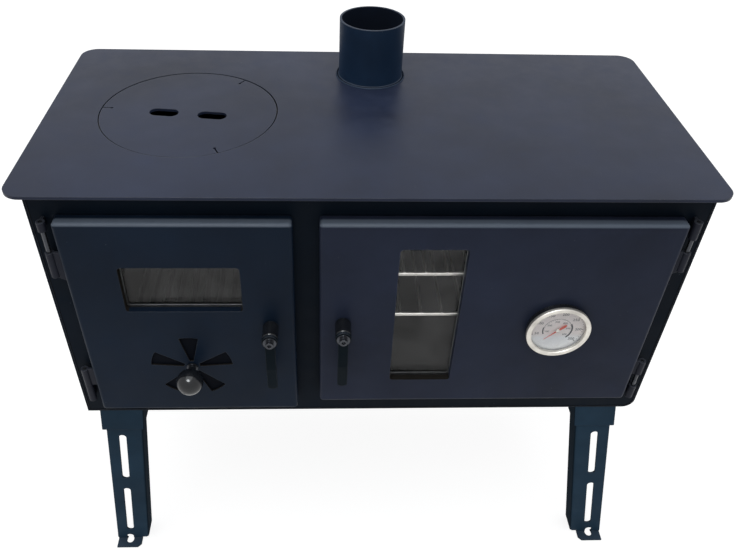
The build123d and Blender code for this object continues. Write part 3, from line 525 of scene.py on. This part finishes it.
# puts arrays of points and faces into a mesh piece that rides on a body
def addPiece(name, points, faces, finish, body, slot, smooth=True):
    mesh = bpy.data.meshes.new(name)
    mesh.from_pydata(np.asarray(points).reshape(-1, 3).tolist(), [], [list(f) for f in faces])
    made = bmesh.new()
    made.from_mesh(mesh)
    bmesh.ops.remove_doubles(made, verts=made.verts, dist=mergeGap)
    bmesh.ops.recalc_face_normals(made, faces=made.faces)
    made.to_mesh(mesh)
    made.free()
    mesh.polygons.foreach_set("use_smooth", np.full(len(mesh.polygons), smooth))
    mesh.materials.append(materials[finish])
    piece = bpy.data.objects.new(name, mesh)
    bpy.context.scene.collection.objects.link(piece)
    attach(piece, body)
    return piece


# weld round the collar

weldLook = {"radius": 0.0017, "ripples": 84, "rippleDepth": 0.16, "lean": 0.12, "wander": 0.10,
            "waves": ((3, 1.0, 0.0), (7, 0.6, 1.0), (16, 0.4, 2.0)), "steps": 1176, "sides": 12}


# A small circle carried round the collar. Its size swells and drops back with each ripple, as overlapping
# drops of metal do, and wanders a little with slow sine waves.
def collarWeld():
    turn = np.linspace(0, 2 * np.pi, weldLook["steps"], endpoint=False)
    side = np.linspace(0, 2 * np.pi, weldLook["sides"], endpoint=False)
    turn, side = np.meshgrid(turn, side, indexing="ij")
    phase = (turn * weldLook["ripples"] / (2 * np.pi) + weldLook["lean"] * np.cos(side)) % 1.0
    ripple = 1 + weldLook["rippleDepth"] * (np.sqrt(phase) - 0.5)
    waves = sum(size * np.sin(count * turn + shift) for count, size, shift in weldLook["waves"])
    thick = weldLook["radius"] * ripple * (1 + weldLook["wander"] * waves / 2)
    wide = (collarBox[1].x - collarBox[0].x) / 2
    ring = wide + thick * np.cos(side)
    x = collarCenter[0] + ring * np.cos(turn)
    y = collarCenter[1] + ring * np.sin(turn)
    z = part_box("top_plate")[1].z + thick * np.sin(side)
    faces = gridFaces(weldLook["steps"], weldLook["sides"], True, True)
    addPiece("collarWeld", np.stack([x, y, z], axis=-1), faces, "collar", "stove_body", "black_paint")


# seam where the front panel meets the folded floor and side

seamLook = {"radius": 0.0006, "corner": 0.0115, "arcSteps": 12, "runSteps": 60, "sides": 8, "waver": 0.22,
            "waves": (1.7, 0.61)}


# A thin filler bead: a small circle carried along the panel's edge, down the left side, along the floor,
# round the bent corner and up the right side. Its size wavers with two sines of the way along.
def frontSeam():
    low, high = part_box("front_panel")
    r = seamLook["corner"]
    run = np.linspace(0, 1, seamLook["runSteps"])
    bend = np.radians(np.linspace(-90, 0, seamLook["arcSteps"]))
    x = np.concatenate([np.full(run.size, low.x), low.x + run[1:] * (high.x - r - low.x),
                        high.x - r + r * np.cos(bend)[1:], np.full(run.size - 1, high.x)])
    z = np.concatenate([high.z + run * (low.z - high.z), np.full(run.size - 1, low.z),
                        low.z + r + r * np.sin(bend)[1:], low.z + r + run[1:] * (high.z - low.z - r)])
    step = np.arange(x.size)
    way = np.stack([np.gradient(x), np.gradient(z)], axis=-1)
    way = way / np.linalg.norm(way, axis=1, keepdims=True)
    side = np.linspace(0, 2 * np.pi, seamLook["sides"], endpoint=False)
    waves = sum(np.sin(step * pace) for pace in seamLook["waves"])
    thick = seamLook["radius"] * (1 + seamLook["waver"] * waves / 2)
    out = thick[:, None] * np.cos(side)
    px = x[:, None] - way[:, 1:2] * out
    pz = z[:, None] + way[:, 0:1] * out
    py = low.y + thick[:, None] * np.sin(side)
    faces = runFaces(x.size, seamLook["sides"])
    addPiece("frontSeam", np.stack([px, py, pz], axis=-1), faces, "shell", "stove_body", "black_paint")


# thermometer: the print

dialCenter = boxCenter("thermo_bezel")
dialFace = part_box("thermo_dial")[0].y
dialLook = {
    "firstDeg": 194.0, "sweepDeg": 232.0, "ink": 0.00008, "textSteps": 3, "arcSteps": 40,
    "zones": ((204.0, 168.0, 0.0162, 0.0176), (168.0, 30.0, 0.0164, 0.0168), (30.0, -46.0, 0.0160, 0.0178)),
}
# the outer scale and the inner one; each half is half a tick's width in degrees
dialScales = (
    {"first": 50, "last": 350, "step": 50, "tick": 10, "ring": 0.0240, "size": 0.0052, "out": 0.0302,
     "tickIn": 0.0288, "longIn": 0.0280, "half": 0.4, "longHalf": 0.75},
    {"first": 100, "last": 600, "step": 100, "tick": 20, "ring": 0.0122, "size": 0.0036, "out": 0.0158,
     "tickIn": 0.0150, "longIn": 0.0150, "half": 0.5, "longHalf": 0.5},
)


# flat closed bar bent round the dial's middle: a rectangle carried along an arc, with both ends capped
def ringSegment(rIn, rOut, startDeg, endDeg, steps):
    angle = np.radians(np.linspace(startDeg, endDeg, steps + 1))
    radius = np.array([rIn, rOut, rOut, rIn])
    lift = np.array([0.0, 0.0, 1.0, 1.0]) * dialLook["ink"]
    x = dialCenter[0] + np.outer(np.cos(angle), radius)
    z = dialCenter[2] + np.outer(np.sin(angle), radius)
    y = dialFace - np.tile(lift, (steps + 1, 1))
    return np.stack([x, y, z], axis=-1).reshape(-1, 3), runFaces(steps + 1, 4)


def dialAngle(value, scale):
    share = (value - scale["first"]) / (scale["last"] - scale["first"])
    return dialLook["firstDeg"] - dialLook["sweepDeg"] * share


# several sets of points and faces as one
def joined(parts):
    points = []
    faces = []
    count = 0
    for partPoints, partFaces in parts:
        points.append(partPoints)
        faces += [[count + k for k in face] for face in partFaces]
        count += len(partPoints)
    return np.concatenate(points), faces


# one number as a thin solid, upright, with its middle on a ring of the dial
def number(value, angleDeg, ring, size):
    text = bpy.data.curves.new("number", "FONT")
    text.body = str(value)
    text.size = size
    text.extrude = dialLook["ink"] / 2
    text.align_x = "CENTER"
    text.align_y = "CENTER"
    text.resolution_u = dialLook["textSteps"]
    holder = bpy.data.objects.new("number", text)
    bpy.context.scene.collection.objects.link(holder)
    bpy.context.view_layer.update()
    shape = bpy.data.meshes.new_from_object(holder.evaluated_get(bpy.context.evaluated_depsgraph_get()))
    flat = np.zeros(len(shape.vertices) * 3)
    shape.vertices.foreach_get("co", flat)
    flat = flat.reshape(-1, 3)
    faces = [list(face.vertices) for face in shape.polygons]
    bpy.data.objects.remove(holder)
    bpy.data.curves.remove(text)
    bpy.data.meshes.remove(shape)
    x = dialCenter[0] + ring * cos(radians(angleDeg)) + flat[:, 0]
    z = dialCenter[2] + ring * sin(radians(angleDeg)) + flat[:, 1]
    y = dialFace - dialLook["ink"] / 2 - flat[:, 2]
    return np.stack([x, y, z], axis=-1), faces


# ticks, zone arcs and plain numbers of the dial
def dialPrint():
    bars = []
    digits = []
    for scale in dialScales:
        for value in range(scale["first"], scale["last"] + 1, scale["tick"]):
            angle = dialAngle(value, scale)
            major = value % scale["step"] == 0
            half = scale["longHalf"] if major else scale["half"]
            inner = scale["longIn"] if major else scale["tickIn"]
            bars.append(ringSegment(inner, scale["out"], angle - half, angle + half, 2))
        for value in range(scale["first"], scale["last"] + 1, scale["step"]):
            digits.append(number(value, dialAngle(value, scale), scale["ring"], scale["size"]))
    for start, end, inner, outer in dialLook["zones"]:
        bars.append(ringSegment(inner, outer, start, end, dialLook["arcSteps"]))
    for name, parts in (("dialTicks", bars), ("dialNumbers", digits)):
        addPiece(name, *joined(parts), "ink", "oven_door", "dial_white", smooth=False)


# thermometer: rim, lens and needle

# profile of radius and height turned round the thermometer's axis, height towards the front
def revolved(radius, height, count):
    turn = np.linspace(0, 2 * np.pi, count, endpoint=False)[:, None]
    x = dialCenter[0] + np.cos(turn) * radius
    z = dialCenter[2] + np.sin(turn) * radius
    y = np.zeros_like(turn) - height
    return np.stack([x, y, z], axis=-1)


bezelLook = {"section": 48, "around": 160, "squareness": 4.6, "inner": 0.0312}


# Rolled steel rim. Its section is a superellipse, a circle pressed towards a square, carried round the dial.
def bezelRim():
    low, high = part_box("thermo_bezel")
    outer = (high.x - low.x) / 2
    way = np.linspace(0, 2 * np.pi, bezelLook["section"], endpoint=False)
    power = 2 / bezelLook["squareness"]
    across = np.sign(np.cos(way)) * np.abs(np.cos(way)) ** power
    along = np.sign(np.sin(way)) * np.abs(np.sin(way)) ** power
    radius = (bezelLook["inner"] + outer) / 2 + across * (outer - bezelLook["inner"]) / 2
    height = -(high.y + low.y) / 2 + along * (high.y - low.y) / 2
    points = revolved(radius, height, bezelLook["around"])
    faces = gridFaces(bezelLook["around"], bezelLook["section"], True, True)
    piece = addPiece("bezelRim", points, faces, "bezel", "oven_door", "chrome")
    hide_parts("thermo_bezel")


lensLook = {"thick": 0.0010, "rise": 0.0018, "rings": 14, "around": 96}


# Glass dome. Its front rises from the rim by one minus the square of the share of the radius, and its back
# follows the same curve one thickness behind.
def domedLens():
    low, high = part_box("thermo_lens")
    wide = (high.x - low.x) / 2
    share = np.linspace(0, 1, lensLook["rings"])
    rise = lensLook["rise"] * (1 - share ** 2)
    back = -high.y
    radius = np.concatenate([share, share[::-1]]) * wide
    height = np.concatenate([back + lensLook["thick"] + rise, (back + rise)[::-1]])
    points = revolved(radius, height, lensLook["around"])
    faces = gridFaces(lensLook["around"], radius.size, True, False)
    piece = addPiece("domedLens", points, faces, "lens", "oven_door", "glass")
    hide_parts("thermo_lens")


needleLook = {
    "deg": 224.0, "tip": 0.0195, "tail": 0.0125, "wide": 0.0016, "thick": 0.0005, "steps": 60,
    "hair": 0.08, "swell": 1.15, "power": 1.6, "roundness": 9, "tailEnd": 0.02,
    "hub": 0.0024, "hubRise": 0.0008, "post": 0.0010, "hubSteps": 8, "hubAround": 40,
}


# Pointer: a rectangle carried from the tip to the tail. Its half width grows with the way along to a power,
# from a hair at the tip, and drops to a rounded tail with the square root of what is left.
def dialNeedle():
    look = needleLook
    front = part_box("thermo_pointer")[0].y
    share = np.linspace(0, 1, look["steps"])
    along = look["tip"] - share * (look["tip"] + look["tail"])
    growing = look["hair"] + share ** look["power"] * look["swell"]
    rounded = np.sqrt(np.clip((1.0 - share) * look["roundness"] + look["tailEnd"], 0, 1))
    half = look["wide"] * np.minimum(growing, rounded)
    heading = radians(look["deg"])
    side = np.stack([half, -half, -half, half], axis=-1)
    x = dialCenter[0] + along[:, None] * cos(heading) - side * sin(heading)
    z = dialCenter[2] + along[:, None] * sin(heading) + side * cos(heading)
    y = front + np.array([0.0, 0.0, 1.0, 1.0]) * look["thick"] + np.zeros_like(x)
    blade = addPiece("dialNeedle", np.stack([x, y, z], axis=-1), runFaces(look["steps"], 4), "needle",
                     "thermo_needle", "needle_red", smooth=False)
    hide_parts("thermo_pointer")
    # hub cap on its post: a quarter wave from the middle to the hub's edge, then the post's straight side
    quarter = np.linspace(0, np.pi / 2, look["hubSteps"])
    radius = np.concatenate([look["hub"] * np.sin(quarter), [look["hub"], look["post"], look["post"], 0.0]])
    cap = -front + look["hubRise"] * np.cos(quarter)
    back = -front - look["thick"]
    foot = -dialFace - look["thick"] / 2
    height = np.concatenate([cap, [back, back, foot, foot]])
    points = revolved(radius, height, look["hubAround"])
    faces = gridFaces(look["hubAround"], radius.size, True, False)
    addPiece("needleHub", points, faces, "bezel", "thermo_needle", "steel")


collarWeld()
frontSeam()
dialPrint()
bezelRim()
domedLens()
dialNeedle()
print("pieces done")


# studio

studio = {
    "floorHalf": 9.0, "floorBounce": 0.45, "floorGlow": 0.80, "worldFill": 0.52,
    "lampColor": (0.94, 0.975, 1.0),
    "lampSize": (2.2, 2.2), "lampPower": 26.0, "lampPlace": (-0.1, -0.35, 2.75), "lampAim": (0.0, 0.0, 0.6),
    "glossSize": (0.8, 0.5), "glossPower": 32.0, "glossPlace": (-0.35, -1.15, 2.05),
    "glossAim": (0.0, -0.15, 0.5),
}


# 1 for camera, glossy and transmission rays, 0 for the rays that light the object
def backgroundShare(tree):
    path = add(tree, "LightPath")
    seen = calc(tree, "MAXIMUM", path.outputs["Is Camera Ray"], path.outputs["Is Glossy Ray"])
    return calc(tree, "MAXIMUM", seen, path.outputs["Is Transmission Ray"])


# a floor that takes shadows and glows to white where it is seen
def makeFloor():
    half = studio["floorHalf"]
    mesh = bpy.data.meshes.new("floor")
    corners = [(-half, -half, 0), (half, -half, 0), (half, half, 0), (-half, half, 0)]
    mesh.from_pydata(corners, [], [(0, 1, 2, 3)])
    floor = bpy.data.objects.new("floor", mesh)
    bpy.context.scene.collection.objects.link(floor)
    material = bpy.data.materials.new("paleFloor")
    material.use_nodes = True
    tree = material.node_tree
    tree.nodes.clear()
    bounce = add(tree, "BsdfDiffuse", {"Color": rgba([studio["floorBounce"]] * 3)})
    glow = add(tree, "Emission", {"Color": rgba([1.0] * 3)})
    strength = calc(tree, "MULTIPLY", backgroundShare(tree), studio["floorGlow"])
    tree.links.new(strength, glow.inputs["Strength"])
    both = add(tree, "AddShader", {0: bounce.outputs[0], 1: glow.outputs[0]})
    add(tree, "OutputMaterial", {"Surface": both.outputs[0]})
    mesh.materials.append(material)


# white where it is seen, dimmer where it lights
def makeWorld():
    world = bpy.data.worlds.new("paleRoom")
    bpy.context.scene.world = world
    world.use_nodes = True
    tree = world.node_tree
    tree.nodes.clear()
    strength = ramp(tree, backgroundShare(tree), 0.0, 1.0, studio["worldFill"], 1.0)
    sky = add(tree, "Background", {"Color": rgba([1.0] * 3), "Strength": strength})
    add(tree, "OutputWorld", {"Surface": sky.outputs[0]})


# rectangular soft lamp that faces its aim
def makeLamp(name, kind):
    lamp = bpy.data.lights.new(name, "AREA")
    lamp.shape = "RECTANGLE"
    lamp.size, lamp.size_y = studio[kind + "Size"]
    lamp.energy = studio[kind + "Power"]
    lamp.color = studio["lampColor"]
    holder = bpy.data.objects.new(name, lamp)
    bpy.context.scene.collection.objects.link(holder)
    place = Vector(studio[kind + "Place"])
    turn = (Vector(studio[kind + "Aim"]) - place).to_track_quat("-Z", "Y")
    holder.matrix_world = Matrix.Translation(place) @ turn.to_matrix().to_4x4()
    return holder


cameraLook = {
    "place": (-0.06432, -0.75803, 1.07026), "pitch": 39.98678, "yaw": -3.13484, "roll": -2.02796,
    "lens": 35.8989, "sensor": 36.0, "shiftX": 0.021873, "shiftY": -0.004999, "near": 0.01, "far": 50.0,
}


# camera at the photograph's viewing angle: turned about Z, tipped down, then rolled
def makeCamera():
    look = cameraLook
    camera = bpy.data.cameras.new("view")
    camera.sensor_fit = "HORIZONTAL"
    camera.sensor_width = look["sensor"]
    camera.lens = look["lens"]
    camera.shift_x = look["shiftX"]
    camera.shift_y = look["shiftY"]
    camera.clip_start = look["near"]
    camera.clip_end = look["far"]
    holder = bpy.data.objects.new("view", camera)
    bpy.context.scene.collection.objects.link(holder)
    turn = Matrix.Rotation(radians(look["yaw"]), 4, "Z")
    tip = Matrix.Rotation(radians(90 - look["pitch"]), 4, "X")
    roll = Matrix.Rotation(radians(-look["roll"]), 4, "Z")
    holder.matrix_world = Matrix.Translation(Vector(look["place"])) @ turn @ tip @ roll
    bpy.context.scene.camera = holder


makeFloor()
makeWorld()
makeLamp("overhead", "lamp")
# a small softbox that only gloss sees, for the highlights on the knob, folds and rings
softbox = makeLamp("softbox", "gloss")
softbox.visible_diffuse = False
makeCamera()
bpy.context.scene.view_settings.view_transform = "Standard"
print("studio done")
